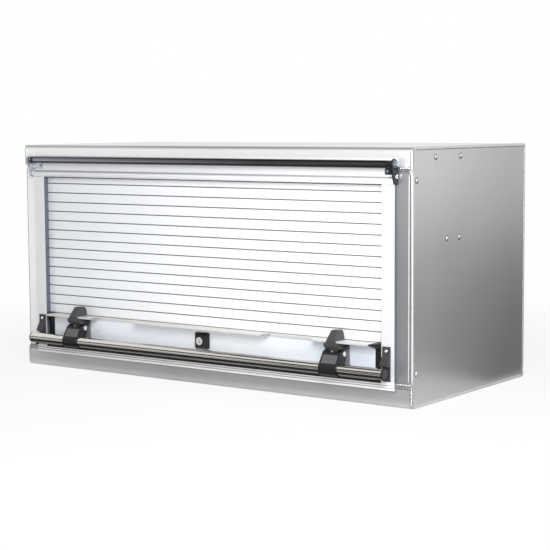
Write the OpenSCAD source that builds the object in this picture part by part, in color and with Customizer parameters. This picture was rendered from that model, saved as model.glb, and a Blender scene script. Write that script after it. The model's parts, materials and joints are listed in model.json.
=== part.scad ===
// Roll front tool cabinet: a folded aluminium box whose doorway is closed by a curtain of
// hinged hollow slats. The curtain runs up two guides and winds on a sprung drum behind the
// header. A lift bar across the bottom rail latches it under two strikers.
// X runs along the width, the doorway faces -Y, and Z is up from the underside.

/* [Cabinet] */
// Width over the side panels
cabinet_w = 1220; // [1000:10:1500]
// Depth from the front flanges to the back
cabinet_d = 560; // [480:10:700]
// Height
cabinet_h = 600; // [570:10:720]
// Thickness of the cabinet's sheet
sheet = 2.5; // [2:0.1:3]
// Outside radius of the cabinet's folds
fold_r = 9; // [6:0.5:12]
// Height of the front flanges above and below the doorway
flange_h = 50; // [45:1:55]
// Width of the jamb folded on each side panel
jamb_w = 42; // [36:1:60]

/* [Guides] */
// Width of a guide's face
guide_w = 36; // [32:1:44]
// How far a guide's face stands in front of the jamb
guide_proud = 9; // [7:0.5:12]
// Wall of the guide extrusion
guide_wall = 2; // [1.5:0.1:2.4]
// Depth of the lip that a guide turns in towards the curtain
guide_lip = 15; // [13:0.5:18]
// Depth of the foot that rivets a guide to its side panel
guide_foot = 17; // [16:1:30]

/* [Header] */
// From the cabinet's top down to the header's drip edge
header_drop = 84.5; // [80:0.5:92]
// Height of the header rail
header_h = 57; // [50:1:62]
// How far the drip nose stands in front of the doorway
header_nose = 17; // [14:0.5:20]
// Outside diameter of the header roller
roller_d = 18; // [14:0.5:20]
// Height of the roller's axis above the drip edge
roller_rise = 45.5; // [42:0.5:50]
// Diameter of the bolt that each end of the roller turns on
roller_bolt_d = 8; // [6:0.5:10]

/* [Curtain] */
// Height of one slat, joint to joint
slat_pitch = 25; // [24:0.5:26]
// Thickness of a slat
slat_t = 9; // [8.5:0.1:10]
// Wall of a slat
slat_wall = 1.2; // [0.9:0.1:1.4]
// Radius of the bead that joins a slat to the next
bead_r = 2.2; // [1.9:0.05:2.4]
// Gap left all round the bead in its socket
bead_play = 0.4; // [0.3:0.05:0.5]
// How deep a slat reaches into each guide
slat_grip = 21; // [16:1:26]

/* [Bottom rail] */
// Height of the bottom rail
rail_h = 85; // [82:0.5:90]
// Thickness of the bottom rail
rail_t = 16; // [15:0.5:18]
// Wall of the bottom rail
rail_wall = 2; // [1.5:0.1:2.5]
// How far the finger ledge stands in front of the rail
ledge_d = 32.5; // [28:0.5:36]
// Thickness of the finger ledge
ledge_t = 5; // [4:0.5:6]
// Width of the ledge left between the two hand gaps
ledge_middle = 406; // [340:2:440]
// Width of each hand gap in the ledge
hand_gap = 150; // [120:2:170]

/* [Latch] */
// Outside diameter of the lift bar
bar_d = 28; // [25:0.5:30]
// Wall of the lift bar
bar_wall = 1.5; // [1:0.1:2]
// Height of the bar's axis above the sill
bar_rise = 23; // [21:0.5:25]
// Distance of the bar's axis in front of the doorway
bar_reach = 36.7; // [35:0.1:40]
// Distance of each clamp from the middle of the cabinet
clamp_x = 410; // [380:1:430]
// Width of the arm that grips the bar
arm_w = 50; // [40:1:56]
// Wall of the arm round the bar
arm_wall = 3; // [2:0.5:4]
// Diameter of the pin that the arm swings on
pin_d = 6; // [5:0.5:8]
// Width of the lug that the arm's two ears straddle
pin_lug_w = 24; // [18:1:26]

/* [Lock] */
// Width of the lock's housing
lock_w = 44; // [38:1:50]
// Height of the lock's housing
lock_h = 41; // [38:1:44]
// Depth of the lock's housing
lock_depth = 14; // [12:0.5:16]
// Diameter of the key cylinder
key_d = 20; // [17:0.5:22]

/* [Drum] */
// Outside diameter of the drum's tube
drum_d = 76; // [60:1:90]
// Wall of the drum's tube
drum_wall = 2; // [1.5:0.1:3]
// Diameter of the fixed axle
axle_d = 20; // [16:1:24]
// Distance of the axle behind the front of the cabinet
axle_setback = 168; // [150:1:180]
// Distance of the axle below the top of the cabinet
axle_drop = 110; // [100:1:120]

/* [Hidden] */
FRAME_NODES = [
    "body_wrap", "side_panel_left", "side_panel_right", "guide_left", "guide_right",
    "guide_seal_left", "guide_seal_right", "header_rail", "header_seal", "sill_rail",
    "striker_left", "striker_right", "header_bracket_left", "header_bracket_right",
    "header_roller", "roller_plugs", "roller_bolts", "drum_bracket_left",
    "drum_bracket_right", "drum_axle", "drum_tube", "drum_plugs", "drum_spring",
    "strap_turns", "leader_straps", "panel_rivets"
];
DOOR_NODES = [
    "bottom_rail", "rail_end_left", "rail_end_right", "bottom_seal", "lock_housing",
    "lock_cylinder", "lock_cam", "clamp_base_left", "clamp_base_right", "clamp_pins",
    "lift_bar", "bar_end_left", "bar_end_right", "clamp_arm_left", "clamp_arm_right"
];
$fn = 48;

fit = 0.05;          // radial clearance of a shaft that turns in its bore
seat = 0.3;          // gap between two bodies that only pass each other
eps = 0.01;          // lets a shape reach just into the next
over = 1;            // how far a cut runs past the faces that it opens

// Main planes of the cabinet
front_y = -cabinet_d / 2;
back_y = cabinet_d / 2;
flange_back_y = front_y + sheet;
inner_x = cabinet_w / 2 - sheet;
header_z = cabinet_h - header_drop;

// Guides and the track between them
guide_out_x = cabinet_w / 2 - jamb_w;
guide_in_x = guide_out_x - guide_w;
guide_face_y = front_y - guide_proud;
lip_back_y = guide_face_y + guide_lip;
track_play = 1.5;
slat_y = lip_back_y + track_play;
track_back_y = slat_y + slat_t + track_play;
guide_head = 45;     // the guide's rear half runs on behind the header
foot_y = front_y + fold_r;
guide_edge_r = 1.5;
slat_half = guide_in_x + slat_grip;

// Sill
sill_rise = 9;
sill_top = flange_h + sill_rise;
sill_face_h = 19;
sill_t = 3;
sill_back_y = track_back_y + 6;

// Bottom rail
seal_t = 2.7;
seal_lip_t = 1.5;
seal_lap = 3;        // how far the lip hangs below the sill's upper edge
rail_z = sill_top + seat + seal_t;
rail_top = rail_z + rail_h;
rail_y = front_y;
rail_back_y = rail_y + rail_t;
rail_end_w = 20;
rail_half = guide_in_x - rail_end_w - 1;
ledge_y = rail_y - ledge_d;
ledge_z = rail_top - ledge_t;
hand_gap_lip = 5.5;
hand_gap_slope = 11;

// Slats: the socket sits over the bead of the slat below
socket_z = 3;
socket_r = bead_r + bead_play + slat_wall;
joint_y = slat_y + slat_t / 2;
neck_t = 1.5;
groove = 1.4;        // open line between the front skins of two slats
skin_bevel = 1;
shell_bottom = 6.2;
shell_top = slat_pitch - socket_r + socket_z - 2;
curtain_rows = ceil((header_z - rail_top) / slat_pitch);
curtain_top = rail_top + curtain_rows * slat_pitch;
function slat_name(row) = str("slat_", row < 10 ? "0" : "", row);

// Lift bar, its pivots and the strikers
bar_y = front_y - bar_reach;
bar_z = sill_top + bar_rise;
bar_half = guide_out_x - 12;
cap_t = 3;
stub_d = 9;
stub_drop = 4;
stub_x = bar_half - 14;
pivot_y = bar_y + 18.7;
pivot_z = bar_z + 35;
knuckle_r = 10;
ear_gap = 0.5;       // between the lug and the arm's ears
pin_head_d = 12;
pin_head_t = 2;
hook_w = 27;
crown_w = 17;
jaw_w = 40;
hook_wall = 4;
hook_top = 24;
clamp_w = arm_w + 8;
striker_t = 2.5;
striker_w = 22;
striker_x = guide_in_x + 4 + striker_w / 2;
striker_z = sill_top + 2;
striker_h = 81;
latch_gap = 0.6;
wedge_h = 25;

// Lock
lock_z = rail_z + 50;
shaft_d = 12;
shaft_room = 1;
lock_base_t = 4;
key_seat = 2;        // how deep the key cylinder reaches into the base
cam_t = 3;
cam_toe = 5;
cam_reach = lock_z - sill_top + sill_t + cam_toe + 0.5;
cam_r = 9;
cam_y = sill_back_y + 2;
toe_y = rail_back_y + 0.5;

// Header
header_plate = 3;
header_half = guide_out_x + 2;
header_seal_h = 26;
roller_y = front_y - 18;
roller_z = header_z + roller_rise;
roller_half = header_half - 14;
roller_wall = 1.5;
cheek_plate = 3;
plug_gap = 4;
bolt_head = 8;
lug_w = 30;
lug_h = 15;

// Drum
axle_y = front_y + axle_setback;
axle_z = cabinet_h - axle_drop;
drum_half = inner_x - 52;
bracket_t = 3;
bracket_in_x = inner_x - bracket_t;
hub_len = 24;
hub_d = axle_d + 20;
plug_len = 22;
strap_w = 50;
strap_t = 1.5;
strap_turn = 3;
strap_bend = 22;
turn_r = drum_d / 2 + strap_turn;
strap_xs = [-guide_in_x * 0.75, 0, guide_in_x * 0.75];

// Rivets, as [y, z] on the side panels. The bracket's four are counted from the axle, and
// the upper two from the cabinet's top
top_rivet_front = 65;
top_rivet_back = 53;
top_rivet_drop = 24.5;
low_rivet_front = 11;
low_rivet_back = 48;
low_rivet_drop = 106.5;
rivet_d = 6.4;
rivet_head = 11.5;
rivet_rise = 2.8;
rivet_tail = 1.5;
top_rivet_z = cabinet_h - top_rivet_drop;
low_rivet_z = axle_z - low_rivet_drop;
bracket_rivets = [
    [axle_y - top_rivet_front, top_rivet_z], [axle_y + top_rivet_back, top_rivet_z],
    [axle_y - low_rivet_front, low_rivet_z], [axle_y + low_rivet_back, low_rivet_z]
];
guide_rivet_y = foot_y + guide_foot / 2;
guide_rivets = [[guide_rivet_y, header_z + 8], [guide_rivet_y, sill_top + 23]];
rivet_margin = 12;

// Rectangle from one corner to the other, with rounded corners
module round_rect(from, to, r) {
    size = to - from;
    translate(from + [r, 0]) square([size.x - 2 * r, size.y]);
    translate(from + [0, r]) square([size.x, size.y - 2 * r]);
    for (x = [from.x + r, to.x - r], y = [from.y + r, to.y - r])
        translate([x, y]) circle(r);
}

// Rectangle from one corner to the other
module rect(from, to) {
    translate(from) square(to - from);
}

// Outline drawn as [y, z], made into a piece that lies along X
module along_x(x_from, x_to) {
    translate([x_from, 0, 0])
        rotate([90, 0, 90])
            linear_extrude(x_to - x_from) children();
}

// Round bar along X
module rod(y, z, d, x_from, x_to) {
    translate([x_from, y, z])
        rotate([0, 90, 0])
            cylinder(h = x_to - x_from, d = d);
}

// Round bar along Y
module rod_y(x, z, d, y_from, y_to) {
    translate([x, y_from, z])
        rotate([-90, 0, 0])
            cylinder(h = y_to - y_from, d = d);
}

// Draws a right-hand piece on the left
module on_left() {
    mirror([1, 0, 0]) children();
}

// Both copies of a right-hand piece
module on_both() {
    children();
    on_left() children();
}

// Outline of two circles and the straight flanks that touch both
module strap_outline(a, ra, b, rb) {
    run = b - a;
    reach = norm(run);
    heading = atan2(run.y, run.x);
    lean = acos((ra - rb) / reach);
    touch = [for (side = [-1, 1]) [cos(heading + side * lean), sin(heading + side * lean)]];
    translate(a) circle(ra);
    translate(b) circle(rb);
    polygon([a + ra * touch[0], b + rb * touch[0], b + rb * touch[1], a + ra * touch[1]]);
}

// Where a line from a point touches a circle, on one side of it
function tangent_point(point, centre, r, side) =
    let (run = point - centre,
         turn = atan2(run.y, run.x) + side * acos(r / norm(run)))
    centre + r * [cos(turn), sin(turn)];

// ---------------------------------------------------------------- cabinet

// Top, back, bottom and both front flanges, folded from one sheet
module body_wrap() {
    color([0.80, 0.80, 0.80])
        along_x(-inner_x, inner_x)
            difference() {
                round_rect([front_y, 0], [back_y, cabinet_h], fold_r);
                round_rect([flange_back_y, sheet], [back_y - sheet, cabinet_h - sheet],
                           fold_r - sheet);
                rect([front_y - over, flange_h], [flange_back_y + fold_r, cabinet_h - flange_h]);
            }
}

// Side panel with its front edge folded in as the jamb
module side_panel() {
    color([0.72, 0.71, 0.71])
        difference() {
            union() {
                difference() {
                    along_x(inner_x, cabinet_w / 2)
                        round_rect([front_y, 0], [back_y, cabinet_h], fold_r);
                    translate([inner_x - over, front_y - over, flange_h])
                        cube([sheet + 2 * over, fold_r + over, cabinet_h - 2 * flange_h]);
                }
                translate([0, 0, flange_h])
                    linear_extrude(cabinet_h - 2 * flange_h) jamb_fold();
            }
            for (at = concat(bracket_rivets, guide_rivets))
                rod(at.x, at.y, rivet_d, inner_x - over, cabinet_w / 2 + over);
        }
}

// Fold and return of the jamb, seen from above
module jamb_fold() {
    bend = [cabinet_w / 2 - fold_r, front_y + fold_r];
    rect([guide_out_x, front_y], [bend.x, flange_back_y]);
    intersection() {
        difference() {
            translate(bend) circle(fold_r);
            translate(bend) circle(fold_r - sheet);
        }
        rect([bend.x, front_y], [cabinet_w / 2, bend.y]);
    }
}

// ---------------------------------------------------------------- guides and frame

// Track for the slats' ends, with a foot riveted to the side panel
module guide() {
    color([0.90, 0.90, 0.91])
        difference() {
            translate([0, 0, sill_top])
                linear_extrude(header_z + guide_head - sill_top) guide_section();
            translate([guide_in_x - over, guide_face_y - over, header_z - seat])
                cube([guide_w + over, guide_proud + sheet + over, guide_head + over]);
            for (at = guide_rivets)
                rod(at.x, at.y, rivet_d, inner_x - guide_wall - over, inner_x + over);
        }
}

module guide_section() {
    back = track_back_y + guide_wall;
    difference() {
        round_rect([guide_in_x, guide_face_y], [guide_out_x, back], guide_edge_r);
        rect([guide_in_x + guide_wall, guide_face_y + guide_wall],
             [guide_out_x - guide_wall, track_back_y]);
        rect([guide_in_x - over, lip_back_y], [guide_in_x + guide_wall + over, track_back_y]);
    }
    rect([guide_out_x - guide_wall, foot_y], [inner_x, foot_y + guide_wall]);
    rect([inner_x - guide_wall, foot_y], [inner_x, foot_y + guide_foot]);
}

// Rubber wiper on the guide's lip
module guide_seal() {
    root_x = guide_in_x + guide_wall;
    root_y = lip_back_y - 1;
    root_h = 5;
    blade = 1.6;
    lean = 4;
    tip_y = slat_y - seat;
    color([0.10, 0.10, 0.10])
        translate([0, 0, sill_top])
            linear_extrude(header_z - seat - sill_top)
                polygon([[root_x, root_y - root_h], [root_x + lean / 2, root_y - root_h],
                         [root_x + lean / 2, root_y], [root_x + lean, tip_y],
                         [root_x + lean - blade, tip_y], [root_x, root_y]]);
}

// Header with its hollow drip nose
module header_rail() {
    nose_y = front_y - header_nose;
    nose_top = header_z + 15;
    nose_wall = 2;
    bead_h = 8;
    drip = 7;
    plate_y = front_y - header_plate;
    color([0.88, 0.88, 0.88])
        along_x(-header_half, header_half)
            difference() {
                union() {
                    rect([plate_y, header_z], [front_y, header_z + header_h]);
                    polygon([[plate_y, nose_top], [nose_y + bead_h / 2, nose_top - 1],
                             [nose_y, nose_top - bead_h / 2], [nose_y, nose_top - bead_h + 1.5],
                             [nose_y + 3.5, nose_top - bead_h],
                             [nose_y + nose_wall, nose_top - bead_h - nose_wall],
                             [nose_y + drip, header_z], [plate_y, header_z]]);
                }
                polygon([[plate_y - over, nose_top - nose_wall],
                         [nose_y + 5, nose_top - nose_wall - 1],
                         [nose_y + 6, nose_top - bead_h + 1],
                         [nose_y + 5, nose_top - bead_h - nose_wall],
                         [nose_y + drip + 1.5, header_z + nose_wall],
                         [plate_y - over, header_z + nose_wall]]);
            }
}

// Flexible lip that closes the gap between the header and the curtain
module header_seal() {
    leg = 1.5;
    lip_y = slat_y - seat;
    top_z = header_z + header_seal_h;
    color([0.12, 0.12, 0.12])
        along_x(-guide_in_x + leg, guide_in_x - leg)
            polygon([[front_y, top_z], [front_y + leg, top_z],
                     [front_y + leg, header_z + 4 * leg], [lip_y, header_z - leg],
                     [lip_y - leg, header_z - 2 * leg], [front_y, header_z + 2 * leg]]);
}

// Sill in front of and over the lower flange, slotted for the lock's cam
module sill_rail() {
    face_back = guide_face_y + sill_t;
    groove_d = 1.8;
    groove_h = 2;
    slot_from = cam_toe + 2;
    slot_to = sqrt(pow(cam_reach + cam_toe + 1, 2) - pow(lock_z - sill_top, 2));
    color([0.82, 0.86, 0.90])
        difference() {
            along_x(-guide_out_x, guide_out_x)
                difference() {
                    union() {
                        rect([guide_face_y, sill_top - sill_face_h], [face_back, sill_top]);
                        rect([guide_face_y, sill_top - sill_t], [sill_back_y, sill_top]);
                        rect([guide_face_y, sill_top - sill_face_h],
                             [front_y, sill_top - sill_face_h + sill_t]);
                        rect([front_y, flange_h], [flange_back_y, sill_top]);
                    }
                    for (rise = [5, 10.5])
                        rect([guide_face_y - over, sill_top - sill_face_h + rise],
                             [guide_face_y + groove_d,
                              sill_top - sill_face_h + rise + groove_h]);
                }
            translate([slot_from, rail_back_y, sill_top - sill_t - over])
                cube([slot_to - slot_from, sill_back_y - rail_back_y + over,
                      sill_t + 2 * over]);
        }
}

// Catch plate on the guide's face, with the wedge that the lift bar sits under
module striker() {
    plate_y = guide_face_y - striker_t;
    wedge_y = bar_y + bar_d / 2 + seat;
    wedge_z = bar_z + bar_d / 2 + latch_gap;
    wedge_toe = 7;
    ribs = 3;
    rib_step = 0.9;
    top = [plate_y + eps, wedge_z + wedge_h];
    slope = [wedge_y, wedge_z + wedge_toe] - top;
    color([0.13, 0.13, 0.13])
        along_x(striker_x - striker_w / 2, striker_x + striker_w / 2) {
            rect([plate_y, striker_z], [guide_face_y, striker_z + striker_h]);
            polygon(concat([top],
                           [for (i = [1:ribs], step = [0, rib_step])
                               top + slope * i / (ribs + 1) + [step, 0]],
                           [top + slope, [wedge_y, wedge_z], [plate_y + eps, wedge_z]]));
        }
}

// ---------------------------------------------------------------- header roller

// End plate of the header, which carries one end of the roller
module header_bracket() {
    boss_r = 13;
    foot = [front_y - 11, header_z + 9];
    foot_r = 10;
    web_d = 16;
    web_h = 40;
    lug_z = header_z + 21.5;
    lug_r = 3;
    slot = [front_y - 9, header_z + 14];
    slot_half = [0, 4];
    slot_r = 2.2;
    color([0.12, 0.12, 0.13])
        difference() {
            union() {
                along_x(header_half, header_half + cheek_plate) {
                    strap_outline([roller_y, roller_z], boss_r, foot, foot_r);
                    rect([front_y - web_d, header_z], [front_y, header_z + web_h]);
                }
                translate([0, front_y - header_plate, 0])
                    rotate([90, 0, 0])
                        linear_extrude(cheek_plate)
                            round_rect([header_half - lug_w, lug_z],
                                       [header_half + cheek_plate, lug_z + lug_h], lug_r);
            }
            rod(roller_y, roller_z, roller_bolt_d, header_half - over,
                header_half + cheek_plate + over);
            along_x(header_half - over, header_half + cheek_plate + over)
                strap_outline(slot - slot_half, slot_r, slot + slot_half, slot_r);
        }
}

// Tube that turns in front of the header
module header_roller() {
    color([0.28, 0.28, 0.29])
        difference() {
            rod(roller_y, roller_z, roller_d, -roller_half, roller_half);
            rod(roller_y, roller_z, roller_d - 2 * roller_wall, -roller_half - over,
                roller_half + over);
        }
}

// Plugs in the roller's ends, bored for the bolts
module roller_plugs() {
    spigot = 18;
    color([0.08, 0.08, 0.08])
        on_both()
            difference() {
                union() {
                    rod(roller_y, roller_z, roller_d - 2 * roller_wall, roller_half - spigot,
                        roller_half + over);
                    rod(roller_y, roller_z, roller_d - 1, roller_half,
                        header_half - plug_gap);
                }
                rod(roller_y, roller_z, roller_bolt_d + 2 * fit, roller_half - spigot - over,
                    header_half);
            }
}

// Bolts through the header's end plates, with washers against the plugs
module roller_bolts() {
    out_x = header_half + cheek_plate;
    reach = 14;
    washer_t = 1.6;
    head_ratio = 1.6;
    color([0.78, 0.78, 0.80])
        on_both() {
            rod(roller_y, roller_z, roller_bolt_d, roller_half - reach, out_x + over);
            rod(roller_y, roller_z, roller_bolt_d + 7, out_x, out_x + washer_t);
            rod(roller_y, roller_z, roller_bolt_d + 4, header_half - plug_gap + seat,
                header_half);
            translate([out_x + washer_t, roller_y, roller_z])
                rotate([0, 90, 0])
                    cylinder(h = bolt_head, d = roller_bolt_d * head_ratio, $fn = 6);
        }
}

// ---------------------------------------------------------------- drum

// Plate riveted inside the side panel, with the hub that holds the axle
module drum_bracket() {
    m = rivet_margin;
    r = bracket_rivets;
    color([0.62, 0.63, 0.65])
        difference() {
            union() {
                along_x(bracket_in_x, inner_x)
                    polygon([r[0] + [-m, m], r[1] + [m, m], r[3] + [m, -m], r[2] + [-m, -m]]);
                rod(axle_y, axle_z, hub_d, bracket_in_x - hub_len, bracket_in_x + over);
            }
            rod(axle_y, axle_z, axle_d, bracket_in_x - hub_len - over, bracket_in_x);
            for (at = r)
                rod(at.x, at.y, rivet_d, bracket_in_x - over, inner_x + over);
        }
}

// Fixed axle, held still in both hubs
module drum_axle() {
    color([0.60, 0.61, 0.63])
        rod(axle_y, axle_z, axle_d, -bracket_in_x, bracket_in_x);
}

// Tube that the curtain winds on
module drum_tube() {
    color([0.70, 0.71, 0.72])
        difference() {
            rod(axle_y, axle_z, drum_d, -drum_half, drum_half);
            rod(axle_y, axle_z, drum_d - 2 * drum_wall, -drum_half - over,
                drum_half + over);
        }
}

// Bearing plugs in the drum's ends
module drum_plugs() {
    flange = 4;
    color([0.14, 0.14, 0.15])
        on_both()
            difference() {
                union() {
                    rod(axle_y, axle_z, drum_d - 2 * drum_wall, drum_half - plug_len,
                        drum_half + over);
                    rod(axle_y, axle_z, drum_d, drum_half, drum_half + flange);
                }
                rod(axle_y, axle_z, axle_d + 2 * fit, drum_half - plug_len - over,
                    drum_half + flange + over);
            }
}

// Torsion spring wound on the axle inside the drum
module drum_spring() {
    coil_t = 6;
    end_gap = 4;
    color([0.35, 0.36, 0.38])
        difference() {
            rod(axle_y, axle_z, axle_d + 2 * coil_t, -drum_half + plug_len + end_gap, 0);
            rod(axle_y, axle_z, axle_d + 2 * seat, -drum_half, over);
        }
}

// Turns of the leader straps that lie on the drum while the curtain is down
module strap_turns() {
    color([0.16, 0.16, 0.17])
        for (x = strap_xs)
            difference() {
                rod(axle_y, axle_z, 2 * turn_r, x - strap_w / 2, x + strap_w / 2);
                rod(axle_y, axle_z, drum_d, x - strap_w / 2 - over, x + strap_w / 2 + over);
            }
}

// Straps from the top slat, over a bend, to the top of the drum
module leader_straps() {
    foot = [joint_y, curtain_top + socket_z + bead_r + seat];
    bend = foot + [0, strap_bend];
    to_axle = [axle_y, axle_z] - bend;
    lift_r = turn_r + seat;
    swing = atan2(-to_axle.y, -to_axle.x) - acos(lift_r / norm(to_axle));
    landing = [axle_y, axle_z] + lift_r * [cos(swing), sin(swing)];
    out = [cos(swing), sin(swing)];
    color([0.16, 0.16, 0.17])
        for (x = strap_xs)
            along_x(x - strap_w / 2, x + strap_w / 2)
                polygon([foot + [-strap_t / 2, 0], foot + [strap_t / 2, 0],
                         bend + [strap_t / 2, 0], landing, landing + strap_t * out,
                         bend + [0, strap_t], bend + [-strap_t / 2, strap_t / 2]]);
}

// ---------------------------------------------------------------- rivets

// Domed rivet through the side panel and what is fixed inside it
module rivet(at, grip) {
    dome_r = (pow(rivet_head / 2, 2) + pow(rivet_rise, 2)) / (2 * rivet_rise);
    rod(at.x, at.y, rivet_d, inner_x - grip, cabinet_w / 2 + rivet_rise / 2);
    rod(at.x, at.y, rivet_d + 3, inner_x - grip - rivet_tail, inner_x - grip);
    translate([cabinet_w / 2, at.x, at.y])
        rotate([0, 90, 0])
            rotate_extrude()
                intersection() {
                    translate([0, rivet_rise - dome_r]) circle(dome_r);
                    square([rivet_head, rivet_rise]);
                }
}

module panel_rivets() {
    color([0.75, 0.75, 0.76])
        on_both() {
            for (at = bracket_rivets)
                rivet(at, bracket_t);
            for (at = guide_rivets)
                rivet(at, guide_wall);
        }
}

// ---------------------------------------------------------------- curtain

// Section of one slat from its own lower edge: hollow body, front skin, socket and bead
module slat_section() {
    middle = slat_t / 2;
    skin_low = groove / 2;
    skin_high = slat_pitch - groove / 2;
    difference() {
        union() {
            rect([0, shell_bottom], [slat_t, shell_top]);
            polygon([[0, skin_low + skin_bevel], [skin_bevel, skin_low], [slat_wall, skin_low],
                     [slat_wall, skin_high], [skin_bevel, skin_high],
                     [0, skin_high - skin_bevel]]);
            translate([middle, socket_z]) circle(socket_r);
        }
        translate([middle, socket_z]) circle(bead_r + bead_play);
        rect([middle - neck_t / 2 - bead_play, socket_z - socket_r - 1],
             [middle + neck_t / 2 + bead_play, socket_z]);
        rect([slat_wall, shell_bottom + slat_wall],
             [slat_t - slat_wall, shell_top - slat_wall]);
    }
    bead_section(shell_top);
}

// Neck and bead that the next socket closes round
module bead_section(from) {
    top = slat_pitch + socket_z;
    rect([(slat_t - neck_t) / 2, from], [(slat_t + neck_t) / 2, top]);
    translate([slat_t / 2, top]) circle(bead_r);
}

// One slat of the curtain, counted up from the bottom rail
module slat(row) {
    color([0.93, 0.93, 0.94])
        translate([0, slat_y, rail_top + (row - 1) * slat_pitch])
            along_x(-slat_half, slat_half) slat_section();
}

// ---------------------------------------------------------------- bottom rail

// Hollow rail with the finger ledge and the bead for the first slat
module bottom_rail() {
    nose_r = ledge_t / 2;
    gap_in = ledge_middle / 2;
    gap_out = gap_in + hand_gap;
    lip_y = rail_y - hand_gap_lip;
    color([0.90, 0.92, 0.95])
        difference() {
            along_x(-rail_half, rail_half) {
                difference() {
                    union() {
                        rect([rail_y, rail_z], [rail_back_y, rail_top]);
                        rect([ledge_y + nose_r, ledge_z], [rail_y + over, rail_top]);
                        translate([ledge_y + nose_r, ledge_z + nose_r]) circle(nose_r);
                    }
                    rect([rail_y + rail_wall, rail_z + rail_wall],
                         [rail_back_y - rail_wall, ledge_z]);
                    socket_room();
                }
                translate([slat_y, rail_top - slat_pitch]) bead_section(shell_top);
            }
            for (side = [-1, 1])
                translate([0, 0, ledge_z - over])
                    linear_extrude(ledge_t + 2 * over)
                        polygon([[side * gap_in, ledge_y - over],
                                 [side * (gap_in + hand_gap_slope), lip_y],
                                 [side * (gap_out - hand_gap_slope), lip_y],
                                 [side * gap_out, ledge_y - over]]);
            rod_y(0, lock_z, shaft_d + 2 * shaft_room, rail_y - over, rail_back_y + over);
        }
}

// What is lowered at the back of the rail's top, so that the first socket clears it
module socket_room() {
    rect([joint_y - socket_r - seat, rail_top - slat_pitch + shell_top],
         [rail_back_y + over, rail_top + over]);
}

// Moulded end of the bottom rail, with the tongue that runs in the guide
module rail_end() {
    end_x = rail_half + rail_end_w;
    plug = 18;
    tongue_play = 1;
    wing_h = 14;
    wing_tip = 8;
    wing_edge = 3;
    color([0.10, 0.10, 0.10]) {
        along_x(rail_half, end_x)
            difference() {
                rect([rail_y, rail_z], [rail_back_y, rail_top]);
                socket_room();
            }
        along_x(rail_half - plug, rail_half + over)
            rect([rail_y + rail_wall, rail_z + rail_wall], [rail_back_y - rail_wall, ledge_z]);
        along_x(rail_half + over, slat_half)
            difference() {
                rect([slat_y + tongue_play, rail_z], [slat_y + slat_t - tongue_play, rail_top]);
                socket_room();
            }
        intersection() {
            translate([0, 0, rail_top - wing_h])
                linear_extrude(wing_h)
                    polygon([[rail_half, ledge_y], [end_x, rail_y - wing_tip],
                             [end_x, rail_y + over], [rail_half, rail_y + over]]);
            along_x(rail_half - over, end_x + over)
                polygon([[ledge_y - over, rail_top], [ledge_y - over, rail_top - wing_edge],
                         [rail_y, rail_top - wing_h], [rail_y + over, rail_top - wing_h],
                         [rail_y + over, rail_top]]);
        }
    }
}

// Rubber strip under the rail, with a lip that hangs in front of the sill's upper edge
module bottom_seal() {
    under = sill_top + seat;
    lip_y = guide_face_y - seat - seal_lip_t;
    color([0.08, 0.08, 0.08])
        along_x(-rail_half - rail_end_w, rail_half + rail_end_w)
            polygon([[rail_back_y - 1, under], [rail_back_y - 1, rail_z],
                     [rail_y, rail_z], [lip_y + 1, rail_z - seat], [lip_y, rail_z - 1],
                     [lip_y, sill_top - seal_lap], [lip_y + seal_lip_t, sill_top - seal_lap],
                     [lip_y + seal_lip_t, under]]);
}

// ---------------------------------------------------------------- lock

// Moulded housing: a rounded base that rises in four flat faces to the key cylinder
module lock_housing() {
    step = 1;
    corner_r = 5;
    front = rail_y - lock_depth;
    base_y = rail_y - lock_base_t;
    w = lock_w / 2;
    h = lock_h / 2;
    c = key_d / 2 + 3;
    color([0.07, 0.07, 0.07])
        difference() {
            union() {
                translate([0, rail_y, lock_z])
                    rotate([90, 0, 0])
                        linear_extrude(lock_base_t) round_rect([-w, -h], [w, h], corner_r);
                intersection() {
                    along_x(-w, w)
                        polygon([[base_y + step, lock_z - h + step], [base_y, lock_z - h + step],
                                 [front, lock_z - c], [front, lock_z + c],
                                 [base_y, lock_z + h - step],
                                 [base_y + step, lock_z + h - step]]);
                    translate([0, 0, lock_z - h])
                        linear_extrude(2 * h)
                            polygon([[-w + step, base_y + step], [-w + step, base_y],
                                     [-c, front], [c, front],
                                     [w - step, base_y], [w - step, base_y + step]]);
                }
            }
            rod_y(0, lock_z, key_d + 2 * fit, front - over, base_y + key_seat);
            rod_y(0, lock_z, shaft_d + 2 * fit, front, rail_y + over);
        }
}

// Key cylinder and the shaft behind it
module lock_cylinder() {
    front = rail_y - lock_depth - 1;
    slot_w = 2;
    slot_h = 9;
    slot_d = 7;
    color([0.75, 0.75, 0.74])
        difference() {
            union() {
                rod_y(0, lock_z, key_d, front, rail_y - lock_base_t + key_seat - seat);
                rod_y(0, lock_z, shaft_d, front + over, cam_y);
            }
            translate([-slot_w / 2, front - over, lock_z - slot_h / 2])
                cube([slot_w, slot_d, slot_h]);
        }
}

// Cam whose toe turns down through the sill's slot and in under its shelf
module lock_cam() {
    color([0.55, 0.56, 0.58])
        translate([0, 0, lock_z]) {
            translate([0, cam_y + cam_t, 0])
                rotate([90, 0, 0])
                    linear_extrude(cam_t)
                        strap_outline([0, 0], cam_r, [cam_reach, 0], cam_toe);
            translate([cam_reach, 0, 0])
                rod_y(0, 0, 2 * cam_toe - 1, toe_y, cam_y + over);
        }
}

// ---------------------------------------------------------------- clamps and lift bar

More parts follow.
